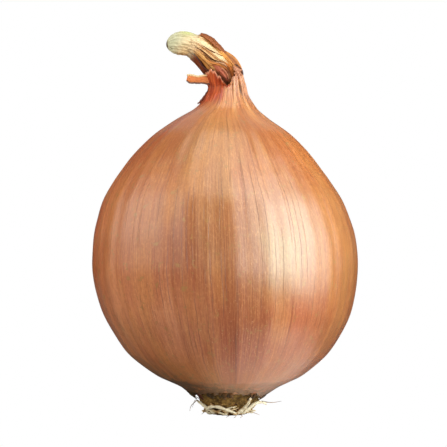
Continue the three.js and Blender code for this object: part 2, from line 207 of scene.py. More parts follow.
UP = np.array([0.0, 0.0, 1.0])
BACK = np.array([0.0, 1.0, 0.0])
SPLINE_STEPS = 600


# Camera

def make_camera():
    data = bpy.data.cameras.new("camera")
    data.lens = LENS
    data.sensor_width = SENSOR
    camera = bpy.data.objects.new("camera", data)
    distance = FRAME_WIDTH * LENS / SENSOR
    camera.location = Vector((CAMERA_X, -distance, CAMERA_Z)) * MM
    camera.rotation_euler = (math.pi / 2, 0, 0)
    bpy.context.scene.collection.objects.link(camera)
    bpy.context.scene.camera = camera


# Numbers along lines and round rings

def seeded_random(seed):
    """The same draws as the solids are made with."""
    state = seed

    def draw():
        nonlocal state
        state = (state + 0x6D2B79F5) & 0xFFFFFFFF
        mixed = ((state ^ (state >> 15)) * (1 | state)) & 0xFFFFFFFF
        mixed = ((mixed + (((mixed ^ (mixed >> 7)) * (61 | mixed)) & 0xFFFFFFFF)) & 0xFFFFFFFF) ^ mixed
        return ((mixed ^ (mixed >> 14)) & 0xFFFFFFFF) / 4294967296

    return draw


def smoothstep(x, low, high):
    t = np.clip((np.asarray(x, float) - low) / (high - low), 0, 1)
    return t * t * (3 - 2 * t)


def lerp(a, b, t):
    return a + (b - a) * t


def value_along(pairs, x):
    """The value at x of a smooth line through (x, value) pairs, held level past its ends."""
    xs = np.array([p[0] for p in pairs], float)
    values = np.array([p[1] for p in pairs], float)
    x = np.clip(x, xs[0], xs[-1])
    i = np.clip(np.searchsorted(xs, x, side="right") - 1, 0, len(xs) - 2)
    t = smoothstep((x - xs[i]) / (xs[i + 1] - xs[i]), 0, 1)
    return lerp(values[i], values[i + 1], t)


def spline(rows, samples):
    """A smooth line through rows of numbers, in even steps of its own length."""
    p = np.array(rows, float)
    p = np.vstack([2 * p[0] - p[1], p, 2 * p[-1] - p[-2]])
    t = np.linspace(0, len(p) - 3 - 1e-9, SPLINE_STEPS)
    i = t.astype(int)
    f = (t - i)[:, None]
    a, b, c, d = p[i], p[i + 1], p[i + 2], p[i + 3]
    line = 0.5 * (2 * b + (c - a) * f + (2 * a - 5 * b + 4 * c - d) * f**2 + (3 * b - a - 3 * c + d) * f**3)
    steps = np.linalg.norm(np.diff(line[:, :3], axis=0), axis=1)
    length = np.concatenate([[0], np.cumsum(steps)])
    at = np.linspace(0, length[-1], samples)
    return np.column_stack([np.interp(at, length, line[:, k]) for k in range(line.shape[1])])


def facing_share(angle, degrees):
    return 0.5 + 0.5 * np.cos(angle - math.radians(degrees))


def angle_between(a, b):
    return np.abs(np.arctan2(np.sin(a - b), np.cos(a - b)))


def ring_angles(count):
    return np.linspace(0, 2 * math.pi, count, endpoint=False)[None, :]


def oval(angle, half_thickness, half_width):
    return 1 / np.hypot(np.cos(angle) / half_thickness, np.sin(angle) / half_width)


def waves(angle, height, seed, count, amplitude, turns=(2, 7), rises=(0.02, 0.08)):
    """Gentle uneven swells over a surface given by angle and height."""
    rng = np.random.default_rng(seed)
    total = 0
    for _ in range(count):
        phase = rng.integers(*turns) * angle + rng.uniform(0, 6.3) + rng.uniform(*rises) * height
        total = total + np.sin(phase) * rng.uniform(0.5, 1)
    return total * amplitude / count


# Meshes from grids of points

class Form:
    """Collects grids of points in mm and makes one mesh of them."""

    def __init__(self):
        self.faces, self.rows, self.count = [], [], 0

    def grid(self, points, fibre=(0, 0, 0), tone=0.5, hue=(0.5, 0.5, 0.5), closed=True):
        """Takes rows of points. The rows of a closed grid are rings, and its two end rings are capped."""
        rows, columns = points.shape[:2]
        index = self.count + np.arange(rows * columns).reshape(rows, columns)
        kept = np.empty((rows, columns, 10))
        kept[..., :3], kept[..., 3:6], kept[..., 6], kept[..., 7:] = points, fibre, tone, hue
        self.take(kept.reshape(-1, 10))
        if closed:
            index = np.column_stack([index, index[:, 0]])
        quads = np.stack([index[:-1, :-1], index[:-1, 1:], index[1:, 1:], index[1:, :-1]], axis=-1)
        self.faces += quads.reshape(-1, 4).tolist()
        for row in (0, -1) if closed else ():
            centre = self.count
            self.take(kept[row].mean(axis=0)[None])
            for a, b in zip(index[row, :-1].tolist(), index[row, 1:].tolist()):
                self.faces.append([centre, b, a] if row == 0 else [centre, a, b])
        return self

    def take(self, rows):
        """Keeps rows of ten numbers: [place, fibre, tone, hue]."""
        self.rows.append(rows)
        self.count += len(rows)

    def piece(self, name, material, slot, node):
        kept = np.vstack(self.rows)
        mesh = bpy.data.meshes.new(name)
        mesh.from_pydata((kept[:, :3] * MM).tolist(), [], self.faces)
        mesh.polygons.foreach_set("use_smooth", [True] * len(mesh.polygons))
        for key, kind, field, values in (
            ("fibre", "FLOAT_VECTOR", "vector", kept[:, 3:6]),
            ("tone", "FLOAT", "value", kept[:, 6]),
            ("hue", "FLOAT_VECTOR", "vector", kept[:, 7:]),
        ):
            layer = mesh.attributes.new(key, kind, "POINT")
            layer.data.foreach_set(field, values.astype(np.float32).ravel())
        mesh.materials.append(material)
        piece = bpy.data.objects.new(name, mesh)
        bpy.context.scene.collection.objects.link(piece)
        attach(piece, "root")
        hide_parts(node)
        return piece


def frames_along(line, side):
    """The directions across a line and outward from it, at each of its points."""
    along = np.gradient(line[:, :3], axis=0)
    along /= np.linalg.norm(along, axis=1, keepdims=True)
    across = side - (along @ side)[:, None] * along
    across /= np.linalg.norm(across, axis=1, keepdims=True)
    return across, np.cross(across, along)


def tube(line, sides, wall, side=BACK):
    """A grid round a line. wall(angle, t) is its radius, with angle 0 on the outside of the bend."""
    across, outward = frames_along(line, side)
    angle = ring_angles(sides)
    t = np.linspace(0, 1, len(line))[:, None]
    radius = wall(angle, t)[..., None]
    spread = outward[:, None] * np.cos(angle)[..., None] + across[:, None] * np.sin(angle)[..., None]
    return line[:, None, :3] + spread * radius, angle + 0 * t, t + 0 * angle


# Shader nodes

class Shader:
    """The nodes of a material, a light or the world."""

    def __init__(self, owner, emptied=True):
        owner.use_nodes = True
        self.owner = owner
        self.tree = owner.node_tree
        if emptied:
            self.tree.nodes.clear()

    def put(self, socket, value):
        if isinstance(value, bpy.types.NodeSocket):
            self.tree.links.new(value, socket)
        else:
            socket.default_value = value

    def node(self, kind, inputs, output=0, **settings):
        """Adds a node with its settings and inputs, and gives one of its outputs."""
        node = self.tree.nodes.new("ShaderNode" + kind)
        for key, value in settings.items():
            setattr(node, key, value)
        for key, value in inputs.items():
            self.put(node.inputs[key], value)
        return node.outputs[output]

    def show(self, kind, shader):
        """Leads a shader to the output node."""
        output = self.tree.nodes.new("ShaderNode" + kind)
        self.put(output.inputs["Surface"], shader)
        return self.owner

    def attribute(self, name, output="Fac"):
        return self.node("Attribute", {}, output, attribute_name=name)

    def object_place(self):
        return self.node("TexCoord", {}, "Object")

    def parts(self, vector):
        return self.node("SeparateXYZ", {0: vector}).node.outputs

    def scaled(self, vector, factors):
        return self.node("VectorMath", {0: vector, 1: factors}, operation="MULTIPLY")

    def noise(self, vector, scale, detail=3.0, roughness=0.55):
        inputs = {"Vector": vector, "Scale": scale, "Detail": detail, "Roughness": roughness}
        return self.node("TexNoise", inputs, "Fac")

    def strands(self, place, factors, detail=3.0, roughness=0.55):
        """Noise drawn out along the fibres."""
        return self.noise(self.scaled(place, factors), 1.0, detail, roughness)

    def math(self, operation, a, b, clamp=False):
        return self.node("Math", {0: a, 1: b}, operation=operation, use_clamp=clamp)

    def times(self, a, b):
        return self.math("MULTIPLY", a, b)

    def span(self, value, low, high, to_low=0.0, to_high=1.0):
        """Turns the range from low to high smoothly into another, level past its ends."""
        inputs = {"Value": value, "From Min": low, "From Max": high, "To Min": to_low, "To Max": to_high}
        return self.node("MapRange", inputs, "Result", interpolation_type="SMOOTHSTEP")

    def lines_round(self, turn, cells, half_width, seed):
        """1 on lines at uneven angles: so many to a full turn, each so many cells wide from its middle."""
        along = self.math("ADD", self.times(turn, cells / (2 * math.pi)), seed)
        distance = self.node("TexVoronoi", {"W": along}, "Distance", voronoi_dimensions="1D")
        return self.span(distance, 0.0, half_width, 1.0, 0.0)

    def mix(self, share, a, b):
        return self.node("Mix", {"Factor": share, "A": a, "B": b}, "Result", data_type="RGBA")

    def ramp(self, value, stops):
        ramped = self.node("ValToRGB", {"Fac": value}, "Color")
        elements = ramped.node.color_ramp.elements
        while len(elements) < len(stops):
            elements.new(0.5)
        for element, (place, tint) in zip(elements, stops):
            element.position = place
            element.color = tint
        return ramped

    def streaked_hue(self, streak, dark, light, middle=0.5):
        """The points' own hue, darker and lighter along the streaks and unchanged at their middle value."""
        stops = [dark, (middle, (1, 1, 1, 1)), light]
        return self.scaled(self.attribute("hue", "Vector"), self.ramp(streak, stops))

    def layers(self, tint, *rows):
        """Mixes tints in, one over the other: [pattern, low, high, share at low, share at high, tint]."""
        for pattern, low, high, at_low, at_high, added in rows:
            tint = self.mix(self.span(pattern, low, high, at_low, at_high), tint, added)
        return tint

    def bumps(self, *rows):
        """A surface raised by patterns, one over the other: [pattern, distance, strength]."""
        inputs = {}
        for pattern, distance, strength in rows:
            inputs.update(Height=pattern, Distance=distance, Strength=strength)
            inputs["Normal"] = self.node("Bump", inputs, "Normal")
        return inputs["Normal"]

    def surface(self, tint, roughness, normal, more):
        inputs = {"Base Color": tint, "Roughness": roughness, "Normal": normal, **more}
        return self.show("OutputMaterial", self.node("BsdfPrincipled", inputs))

    def white_to_camera(self, shader, glow, output):
        """Shows plain white to the camera, and the given shader to all other rays."""
        white = self.node(glow, {"Color": (1, 1, 1, 1)})
        seen = self.node("LightPath", {}, "Is Camera Ray")
        return self.show(output, self.node("MixShader", {0: seen, 1: shader, 2: white}))


def new_material(name):
    return Shader(bpy.data.materials.new(name))


def colour(red, green, blue):
    """A colour given in 0 to 255 as it shows on screen."""
    linear = [c / 255 / 12.92 if c <= 10 else ((c / 255 + 0.055) / 1.055) ** 2.4 for c in (red, green, blue)]
    return (*linear, 1.0)


def tints(*rows):
    """Stops of a ramp, from rows of [place, red, green, blue]."""
    return [(place, colour(*tint)) for place, *tint in rows]


def hue_of(red, green, blue):
    """The same colour, as the three numbers that points keep."""
    return np.array(colour(red, green, blue)[:3])


def toned(hue, share, red, green, blue):
    """Hues moved towards a colour, by a share for each point."""
    return lerp(hue, hue_of(red, green, blue), share[..., None])


# Papery scale

def scale_material():
    s = new_material("papery_scale")
    place = s.attribute("fibre", "Vector")
    parts = s.parts(place)
    turn = s.math("ARCTAN2", parts[0], s.times(parts[1], -1.0))
    turn = s.math("ADD", turn, s.times(s.strands(place, (2, 2, 0.05), 2), 0.05))
    broad = s.strands(place, (2.4, 2.4, 0.025))
    sunny = s.strands(place, (4.2, 4.2, 0.04))
    streak = s.strands(place, (24, 24, 0.02), 4, 0.6)
    fibre = s.strands(place, (95, 95, 0.045), 3, 0.6)
    hair = s.strands(place, (260, 260, 0.2), 2)
    grain = s.strands(place, (64, 64, 0.9), 3, 0.7)
    crease = s.strands(place, (13, 13, 0.1), 3, 0.6)
    crumb = s.noise(s.object_place(), 420, 4, 0.7)

    dash = s.span(s.strands(place, (9, 9, 0.07), 2), 0.42, 0.6)
    vein = s.times(s.lines_round(turn, 24, 0.04, 3.2), dash)
    thread = s.times(s.lines_round(turn, 150, 0.12, 17.7), s.span(dash, 0.0, 1.0, 1.0, 0.1))
    worn = s.span(s.strands(place, (5, 5, 0.1), 2), 0.52, 0.66)
    scratch = s.times(s.lines_round(turn, 61, 0.07, 40.3), worn)
    dots = s.node("TexVoronoi", {"Vector": s.object_place(), "Scale": 740}, "Distance")
    speck = s.times(s.span(dots, 0.06, 0.2, 1.0, 0.0), s.span(hair, 0.45, 0.6))
    gather = s.attribute("gather")
    # Painted highlight on the crests and painted shade in the valleys of the creases where the scale gathers
    # at the waist
    pale = s.times(gather, s.span(crease, 0.52, 0.64, 0.0, 0.5))
    dark = s.times(gather, s.span(crease, 0.36, 0.46, 0.7, 0.0))
    ragged = s.math("ADD", s.attribute("patch"), s.span(fibre, 0.3, 0.7, -0.45, 0.45))
    crust = s.math("ADD", s.attribute("soiled"), s.span(crumb, 0.3, 0.7, -0.5, 0.5))
    russet = s.ramp(crease, tints((0.32, 128, 34, 8), (0.5, 186, 68, 24), (0.68, 212, 106, 54)))
    soil = s.ramp(crumb, tints((0.36, 58, 34, 16), (0.55, 122, 84, 44), (0.68, 176, 128, 70)))

    tint = s.layers(
        s.streaked_hue(streak, (0.3, (0.82, 0.72, 0.62, 1)), (0.7, (1.12, 1.18, 1.25, 1))),
        (broad, 0.42, 0.6, 0.0, 0.4, colour(164, 68, 24)),
        (sunny, 0.5, 0.66, 0.0, 0.22, colour(220, 152, 76)),
        (fibre, 0.46, 0.66, 0.0, 0.22, colour(232, 160, 90)),
        (hair, 0.5, 0.68, 0.0, 0.22, colour(124, 54, 20)),
        (grain, 0.36, 0.5, 0.22, 0.0, colour(132, 60, 24)),
        (grain, 0.54, 0.68, 0.0, 0.2, colour(240, 180, 116)),
    )
    for share, added in (
        (s.times(vein, 0.85), colour(84, 34, 14)),
        (s.times(thread, 0.13), colour(116, 52, 24)),
        # The painted crease highlight and the painted crease shade
        (pale, colour(240, 192, 134)),
        (dark, colour(134, 66, 30)),
        (s.times(scratch, 0.4), colour(238, 200, 160)),
        (s.times(speck, s.attribute("speckled")), colour(236, 190, 150)),
        (s.span(ragged, 0.4, 0.6), russet),
        (s.attribute("edge"), colour(224, 148, 112)),
        # Painted shade in the slit between two pleats
        (s.attribute("slit"), colour(66, 22, 10)),
        (s.span(crust, 0.34, 0.5, 0.0, 0.85), soil),
    ):
        tint = s.mix(share, tint, added)

    normal = s.bumps(
        (streak, 0.00012, 0.3), (fibre, 0.0001, 0.45), (grain, 0.0001, 0.7), (vein, 0.00012, 0.8),
        (s.times(gather, crease), 0.0006, 0.8),
    )
    gloss = {"Specular IOR Level": 1.0, "Coat Weight": 0.8, "Coat Roughness": 0.28}
    return s.surface(tint, s.span(fibre, 0.3, 0.7, 0.3, 0.42), normal, gloss)


def rib_angles():
    draw = seeded_random(RIB_SEED)
    ribs = []
    for i in range(RIB_COUNT):
        angle = (i + lerp(-0.25, 0.25, draw())) / RIB_COUNT * 2 * math.pi
        ribs.append((angle, lerp(0.55, 1.25, draw())))
    return ribs


def rib_relief(angle):
    half = RIB_HALF_WIDTH / RIB_COUNT * 2 * math.pi
    relief = 0
    for rib, height in rib_angles():
        away = np.clip(angle_between(angle, rib) / half, 0, 1)
        relief = relief + height * (0.5 + 0.5 * np.cos(away * math.pi))
    return relief


def pleat_relief(angle):
    """Sharp folds that gather at the waist."""
    wobble = angle + 0.05 * np.sin(3 * angle + 1)
    broad = 1 - np.abs(np.sin(6.5 * wobble + 0.4 * np.sin(2 * angle)))
    fine = 1 - np.abs(np.sin(17 * wobble + 1.2 * np.sin(3 * angle)))
    return 0.65 * (1 - broad**1.4) + 0.35 * (1 - fine**1.3)


def value_round(pairs, angle):
    return value_along(pairs, np.degrees(angle) % 360)


def torn_rim(angle):
    rag = 0.2 * np.sin(13 * angle) + 0.2 * np.sin(29 * angle + 1) + 0.12 * np.sin(71 * angle + 2)
    rough = lerp(0.5, 1.2, facing_share(angle, FLARE_FACING)) + 1.1 * smoothstep(np.sin(angle), 0.2, 0.6)
    return value_round(TORN_RIM, angle) + rough * (rag + 0.1 * np.sin(113 * angle))


def scale_profile():
    lower = [(a * EQUATOR_RADIUS, lerp(BASE_RIM_HEIGHT, EQUATOR_HEIGHT, b)) for a, b in LOWER_OUTLINE]
    upper = [(a * EQUATOR_RADIUS, lerp(EQUATOR_HEIGHT, WAIST_HEIGHT, b)) for a, b in UPPER_OUTLINE]
    rows = lower + upper + [(WAIST_RADIUS, WAIST_HEIGHT)]
    return np.array([(r, 0, h) for r, h in rows])


def ring_centre(angle, height):
    """The middle of each ring: above the waist it follows the neck, but not where the rim stands off it."""
    along_neck = np.interp(height, [row[2] for row in NECK_LINE], [row[0] for row in NECK_LINE])
    above = smoothstep(height, WAIST_HEIGHT - 1, WAIST_HEIGHT + 1)
    leaning = above * (1 - facing_share(angle, FLARE_FACING))
    return lerp(value_along(CENTRE_LINE, height), along_neck, leaning)


def ring_points(angle, radius, height):
    x = ring_centre(angle, height) + radius * np.cos(angle)
    return np.stack([x, radius * DEPTH_SHARE * np.sin(angle), height], axis=-1)


def scale_rows():
    """Angle, radius and height of the outer scale's points, from its lower rim to its torn upper rim."""
    angle = ring_angles(SCALE_COLUMNS)
    profile = spline(scale_profile(), SCALE_ROWS)
    radius, height = profile[:, :1] + 0 * angle, profile[:, 2:] + 0 * angle
    rag = 0.2 * np.sin(5 * angle + 0.6) + 0.2 * np.sin(17 * angle) + 0.14 * np.sin(47 * angle + 1)
    lift = value_round(LOWER_RIM, angle) + rag
    low = np.clip(1 - (height - BASE_RIM_HEIGHT) / 6, 0, 1)
    height = height + low * lift
    radius = radius + low * lift * LOWER_RIM_SLANT
    steps = np.linspace(0, 1, RIM_ROWS + 1)[1:, None]
    facing = facing_share(angle, FLARE_FACING)
    away = steps * torn_rim(angle)
    tuck = 0.75 * smoothstep(away, 0, 2.4) * (1 - facing)
    height = np.vstack([height, WAIST_HEIGHT + away])
    radius = np.vstack([radius, WAIST_RADIUS + steps * RIM_FLARE * facing**2 - tuck])
    return np.broadcast_to(angle, height.shape), radius, height


def raised(angle, radius, height):
    """The outer scale's radius with its swells, ribs, pleats and slit."""
    gathered = smoothstep(height, WAIST_HEIGHT - PLEAT_REACH, WAIST_HEIGHT)
    spread = smoothstep(height, BASE_RIM_HEIGHT, BASE_RIM_HEIGHT + 12)
    calm = 1 - 0.75 * facing_share(angle, FLARE_FACING) ** 2
    radius = radius * (1 + (1 - gathered) * 0.004 * np.sin(3 * angle))
    radius = radius + RIB_HEIGHT * spread * (1 - gathered) * rib_relief(angle)
    radius = radius + PLEAT_HEIGHT * calm * gathered * (pleat_relief(angle) - 0.8)
    radius = radius - 0.5 * slit_share(angle, height)
    radius = radius + waves(angle, height, 5, 9, 0.5) * spread * (1 - gathered)
    return radius + waves(angle, height, 8, 12, 0.16, (14, 46), (0.01, 0.05)) * spread


def papery_scale(material):
    """The outer scale, from under its lower rim to its lining. Gives the points of its outside."""
    angle, radius, height = scale_rows()
    radius = raised(angle, radius, height)
    outer = ring_points(angle, radius, height)
    steps = np.linspace(0, 1, LINING_ROWS)[:, None]
    lining_radius = lerp(radius[-1:] - PAPER, LINING_RADIUS, steps**0.6)
    lining = ring_points(angle[:LINING_ROWS], lining_radius, lerp(height[-1:], LINING_HEIGHT, steps))
    base_radius = np.vstack([0 * radius[:1] + PLATE_TOP_RADIUS, radius[:1] - 0.9, radius[:1] - 0.25])
    base_height = np.vstack([0 * height[:1] + PLATE_TOP + 0.5, height[:1] + 0.25, height[:1] - 0.02])
    base = ring_points(angle[:len(base_height)], base_radius, base_height)
    points = np.concatenate([base, outer, lining])
    every = np.broadcast_to(angle[:1], points.shape[:2])
    steps = np.linalg.norm(np.diff(points[:, 0], axis=0), axis=1)
    length = np.concatenate([[0], np.cumsum(steps)])[:, None] + 0 * every
    fibre = np.stack([np.cos(every), np.sin(every), length], axis=-1)
    z = points[..., 2]
    form = Form().grid(points, fibre, hue=scale_hue(every, z))
    piece = form.piece("papery_scale", material, "papery_scale", "bulb")
    mark_scale(piece, every, z, len(base) + len(outer))
    return outer


def mark_scale(piece, angle, z, lining_start):
    """Says where the scale is russet, gathered, speckled, pale at its edge, slit (dark with painted shade)
    or soiled.
    """
    is_lining = np.zeros(z.shape)
    is_lining[lining_start:] = 1
    rim = WAIST_HEIGHT + torn_rim(angle)
    front_left = facing_share(angle, 232) ** 3
    crust_top = lerp(11.5, 17, facing_share(angle, 205) ** 4)
    mark(piece, "patch", np.maximum(russet_patch(angle, z), is_lining))
    mark(piece, "gather", smoothstep(z, 86, 95) * (1 - 0.7 * facing_share(angle, 215) ** 3))
    mark(piece, "speckled", 0.5 * (1 - smoothstep(z, 22, 60)) * smoothstep(z, 8, 14))
    mark(piece, "edge", front_left * smoothstep(z, rim - 0.5, rim - 0.15) * smoothstep(z, 99, 99.5))
    mark(piece, "slit", slit_share(angle, z))
    mark(piece, "soiled", 1 - smoothstep(z, BASE_RIM_HEIGHT - 1, crust_top))


def mark(piece, name, values):
    """Keeps one number for each point, with the last one for the caps' middle points too."""
    missing = len(piece.data.vertices) - values.size
    values = np.concatenate([values.reshape(-1), np.full(missing, values[-1, -1])])
    layer = piece.data.attributes.new(name, "FLOAT", "POINT")
    layer.data.foreach_set("value", values.astype(np.float32))


def slit_share(angle, height):
    """1 in the slit between two pleats right of the torn patch, 0 away from it. The slit is sunk and dark
    with painted shade.
    """
    middle = math.radians(SLIT_FACING) + 0.02 * (97.5 - height)
    across = np.exp(-(angle_between(angle, middle) / 0.05) ** 2)
    return across * smoothstep(height, 94.6, 96.6) * (1 - smoothstep(height, 99, 100.2))


def russet_patch(angle, z):
    """The torn patch of redder outer scale at the front left of the waist, fading downwards."""
    side = 1 - smoothstep(angle_between(angle, math.radians(PATCH_FACING)), 0.62, 0.86)
    notch = 1 - smoothstep(angle_between(angle, math.radians(240)), 0.5, 0.62) * smoothstep(z, 96, 97.5)
    return side * notch * smoothstep(z, 90.5, 95.5)


# Where the scale takes other hues than its golden brown: [degrees round, height, reach round, reach up, hue]
GOLDEN = (202, 126, 58)
HUES = [
    (272, 25, 52, 22, (142, 30, 4)), (254, 46, 24, 24, (154, 60, 20)),
    (208, 84, 42, 12, (190, 68, 26)), (184, 46, 24, 60, (196, 92, 50)),
    (0, 40, 26, 70, (166, 88, 46)), (297, 57, 36, 30, (164, 132, 84)),
    (336, 84, 40, 16, (206, 114, 44)), (256, 80, 50, 12, (176, 116, 62)),
    (300, 93, 60, 7, (218, 144, 82)), (215, 10, 60, 9, (206, 128, 52)),
    (300, 9, 50, 5, (204, 138, 90)), (20, 14, 60, 9, (164, 88, 38)),
    (302, 30, 16, 9, (182, 98, 58)), (226, 32, 32, 15, (230, 154, 112)),
]


def scale_hue(angle, z):
    hue = np.broadcast_to(hue_of(*GOLDEN), (*z.shape, 3))
    for degrees, height, reach, rise, blotch in HUES:
        around = angle_between(angle, math.radians(degrees)) / math.radians(reach)
        hue = toned(hue, np.exp(-(around**2) - ((z - height) / rise) ** 2), *blotch)
    return hue


# Torn pieces of scale

# The two layers of the collar, as [from and to degrees round, lower edge, lift]
COLLARS = [(176, 264, 92.6, 0.16), (206, 252, 96.5, 0.3)]
COLLAR_ROWS = 34


def torn_collar(material, outer):
    """The ragged remains of an older, redder scale that lie on the waist at the front left."""
    form = Form()
    count = outer.shape[1]
    rim_row = int(outer[:, 0, 2].argmax())
    for number, (first, last, low, lift) in enumerate(COLLARS):
        chosen = np.arange(round(first / 360 * count), round(last / 360 * count))
        turn = chosen / count * 2 * math.pi
        top = outer[:, chosen, 2].max(axis=0) - 0.06 * (1 + number)
        share = (turn - turn[0]) / (turn[-1] - turn[0])
        teeth = np.abs(np.sin(23 * turn + number)) + 0.6 * np.abs(np.sin(61 * turn + 2))
        bottom = low + 1.5 * (teeth + 0.4 * np.sin(9 * turn)) + 5.5 * np.abs(2 * share - 1) ** 5
        steps = np.linspace(0, 1, COLLAR_ROWS)[:, None]
        height = lerp(np.minimum(bottom, top - 0.4), top, steps)
        rows = np.empty((*height.shape, 3))
        for column, source in enumerate(chosen):
            under = outer[:rim_row + 1, source]
            climb = np.maximum.accumulate(under[:, 2])
            for axis in range(3):
                rows[:, column, axis] = np.interp(height[:, column], climb, under[:, axis])
        away = np.stack([np.cos(turn), np.sin(turn), 0 * turn], axis=-1)
        inside = np.minimum(steps * 8, 1) * np.minimum(12 * np.minimum(share, 1 - share), 1)
        rows = rows + away * (lift * (inside - 0.6) + 0.06 * np.sin(37 * turn + height))[..., None]
        fibre = np.stack([turn * 5 + 0 * height, 0.4 * height, number + 0 * height], axis=-1)
        shade = 0.5 + 0.3 * np.sin(11 * turn + 0.2 * height + number)
        shade = shade + 0.2 * np.sin(31 * turn - 0.3 * height)
        lip = smoothstep(height, top - 0.7, top - 0.1) * (turn > math.radians(COLLARS[1][0]))
        hue = toned(toned(hue_of(146, 46, 16), shade, 202, 92, 40), lip, 226, 150, 116)
        form.grid(rows, fibre, hue=hue, closed=False)
    return form.piece("torn_collar", material, "torn_scale", "bulb")


def leaf(form, line, half_thickness, side, ragged, number, hue, sides=28):
    """A thin torn piece of scale along a line of [x, y, z, half width]."""
    width = line[:, 3][:, None]

    def wall(angle, t):
        tear = ragged * (np.sin(19 * t) + 0.6 * np.sin(47 * t + number)) * np.sin(angle)
        return oval(angle, half_thickness, width + tear)

    points, angle, t = tube(line, sides, wall, side)
    fibre = np.stack([np.sin(angle) * 3 + 5 * number, t * 9, 0 * t + number], axis=-1)
    # Painted shade: each leaf darkens, down to half, on its side away from angle 0
    lit = lerp(0.5, 1, smoothstep(np.cos(angle), -0.3, 0.6)[..., None]) * hue_of(*hue)
    form.grid(points, fibre, hue=lit)


def leaves(name, material, slot, node, lines, samples, half_thickness, side, ragged, hue, sides=28):
    """A piece of leaves of one hue."""
    form = Form()
    for number, rows in enumerate(lines):
        leaf(form, spline(rows, samples), half_thickness, np.array(side), ragged, number, hue, sides)
    return form.piece(name, material, slot, node)


def waist_flake(material):
    """A small dark curl of scale on the left of the waist."""
    flakes = [
        [(-4.9, -1.6, 96.9, 0.2), (-5.5, -1.7, 95.6, 0.55), (-6.3, -1.8, 94.5, 0.6),
         (-7.2, -1.8, 93.5, 0.15)],
        [(-5.9, -2.4, 95, 0.2), (-6.8, -2.6, 93.8, 0.5), (-8, -2.7, 92.7, 0.15)],
    ]
    look = 30, 0.12, (0.86, -0.2, -0.5), 0.14, (150, 62, 40), 14
    return leaves("waist_flake", material, "torn_scale", "bulb", flakes, *look)


def torn_flap(material):
    look = 60, 0.3, (0.4, 0.8, 0.45), 0.1, (190, 104, 48)
    return leaves("torn_flap", material, "torn_scale", "neck_flap", [FLAP_LINE], *look)


def torn_strip(material):
    """The strip that stands out to the left, with a painted highlight along its upper edge and painted shade
    along its lower one.
    """
    form = Form()
    line = spline(STRIP_LINE, 60)
    leaf(form, line, 0.26, UP, 0.1, 2, (214, 124, 66))
    # Painted highlight along the upper edge and painted shade along the lower edge
    for side, half_width, ragged, number, hue in (
        (0.95, 0.3, 0.04, 4, (236, 208, 160)), (-0.95, 0.22, 0.06, 6, (112, 84, 74)),
    ):
        edge = line.copy()
        edge[:, 2] += side * line[:, 3]
        edge[:, 3] = half_width
        leaf(form, edge, 0.3, UP, ragged, number, hue)
    return form.piece("torn_strip", material, "papery_scale", "bulb")


def gathered_knuckle(material):
    """The small folds that the scale is cinched into where it meets the neck at the front right."""
    folds = [
        [(2.6, -4.6, 103.6, 0.3), (3.4, -4.7, 102.9, 0.5), (4.4, -4.2, 102.6, 0.45), (5, -3.4, 102.8, 0.2)],
        [(2.9, -4.9, 101.4, 0.3), (3.6, -4.9, 101.8, 0.42), (4.4, -4.4, 101.7, 0.42),
         (5.1, -3.5, 101.2, 0.2)],
        [(2.7, -5, 102.8, 0.2), (3.5, -5.1, 102.3, 0.36), (4.1, -4.8, 101.2, 0.36), (4.4, -4.6, 100, 0.2)],
    ]
    look = 40, 0.34, UP, 0.05, (255, 176, 136)
    return leaves("gathered_knuckle", material, "papery_scale", "bulb", folds, *look)


# The three largest flakes at the lower rim, and the hues of the small ones
LARGE_SHARDS = [
    ([(-13.4, -1.2, 8.5, 0.3), (-11.6, -1.6, 7.2, 0.7), (-9.9, -1.8, 5.8, 0.6), (-8.6, -1.8, 4.6, 0.15)],
     (96, 84, 58)),
    ([(-11.8, -4.4, 7.8, 0.3), (-10.4, -4.6, 6.7, 0.6), (-9.2, -4.6, 5.6, 0.5), (-8.2, -4.4, 4.8, 0.15)],
     (104, 88, 58)),
    ([(-8.4, -8.6, 7.6, 0.4), (-7.6, -8.4, 6.6, 0.8), (-6.8, -8, 5.6, 0.6), (-6.2, -7.6, 4.9, 0.2)],
     (128, 70, 50)),
]
SHARD_HUES = [(120, 92, 48), (88, 66, 36), (160, 112, 62)]
SHARD_ROWS = 24


def small_shards():
    rng = np.random.default_rng(SHARD_SEED)
    for _ in range(SHARD_COUNT):
        angle = rng.uniform(0, 2 * math.pi)
        top = value_round(LOWER_RIM, np.array(angle)) + BASE_RIM_HEIGHT + 0.4
        reach = rng.uniform(0.9, 2.2)
        swerve = rng.uniform(-0.12, 0.12)
        rows = []
        for share, half in ((0, 0.4), (0.4, 0.7), (0.8, 0.45), (1, 0.1)):
            z = top - reach * share
            r = SHARD_RIM_RADIUS + (top - BASE_RIM_HEIGHT) * LOWER_RIM_SLANT - 1.5 * reach * share**1.3
            r = max(r, float(plate_radius(z)) + 0.3)
            turn = angle + swerve * share
            x = SHARD_CENTRE_X + r * math.cos(turn)
            rows.append((x, r * math.sin(turn), z, half * rng.uniform(0.6, 1.2)))
        yield rows, SHARD_HUES[rng.integers(len(SHARD_HUES))]


def base_shards(material):
    """Thin dark flakes that hang from the scale's lower rim, longest at the left."""
    form = Form()
    for number, (rows, hue) in enumerate([*LARGE_SHARDS, *small_shards()]):
        line = spline(rows, SHARD_ROWS)
        middle = line[SHARD_ROWS // 2]
        away = np.array([middle[0] - SHARD_CENTRE_X, middle[1], 0.3])
        side = np.cross(away / np.linalg.norm(away), line[-1, :3] - line[0, :3])
        leaf(form, line, 0.1, side / np.linalg.norm(side), 0.05, number, hue, 12)
    return form.piece("base_shards", material, "papery_scale", "bulb")


# Dried neck

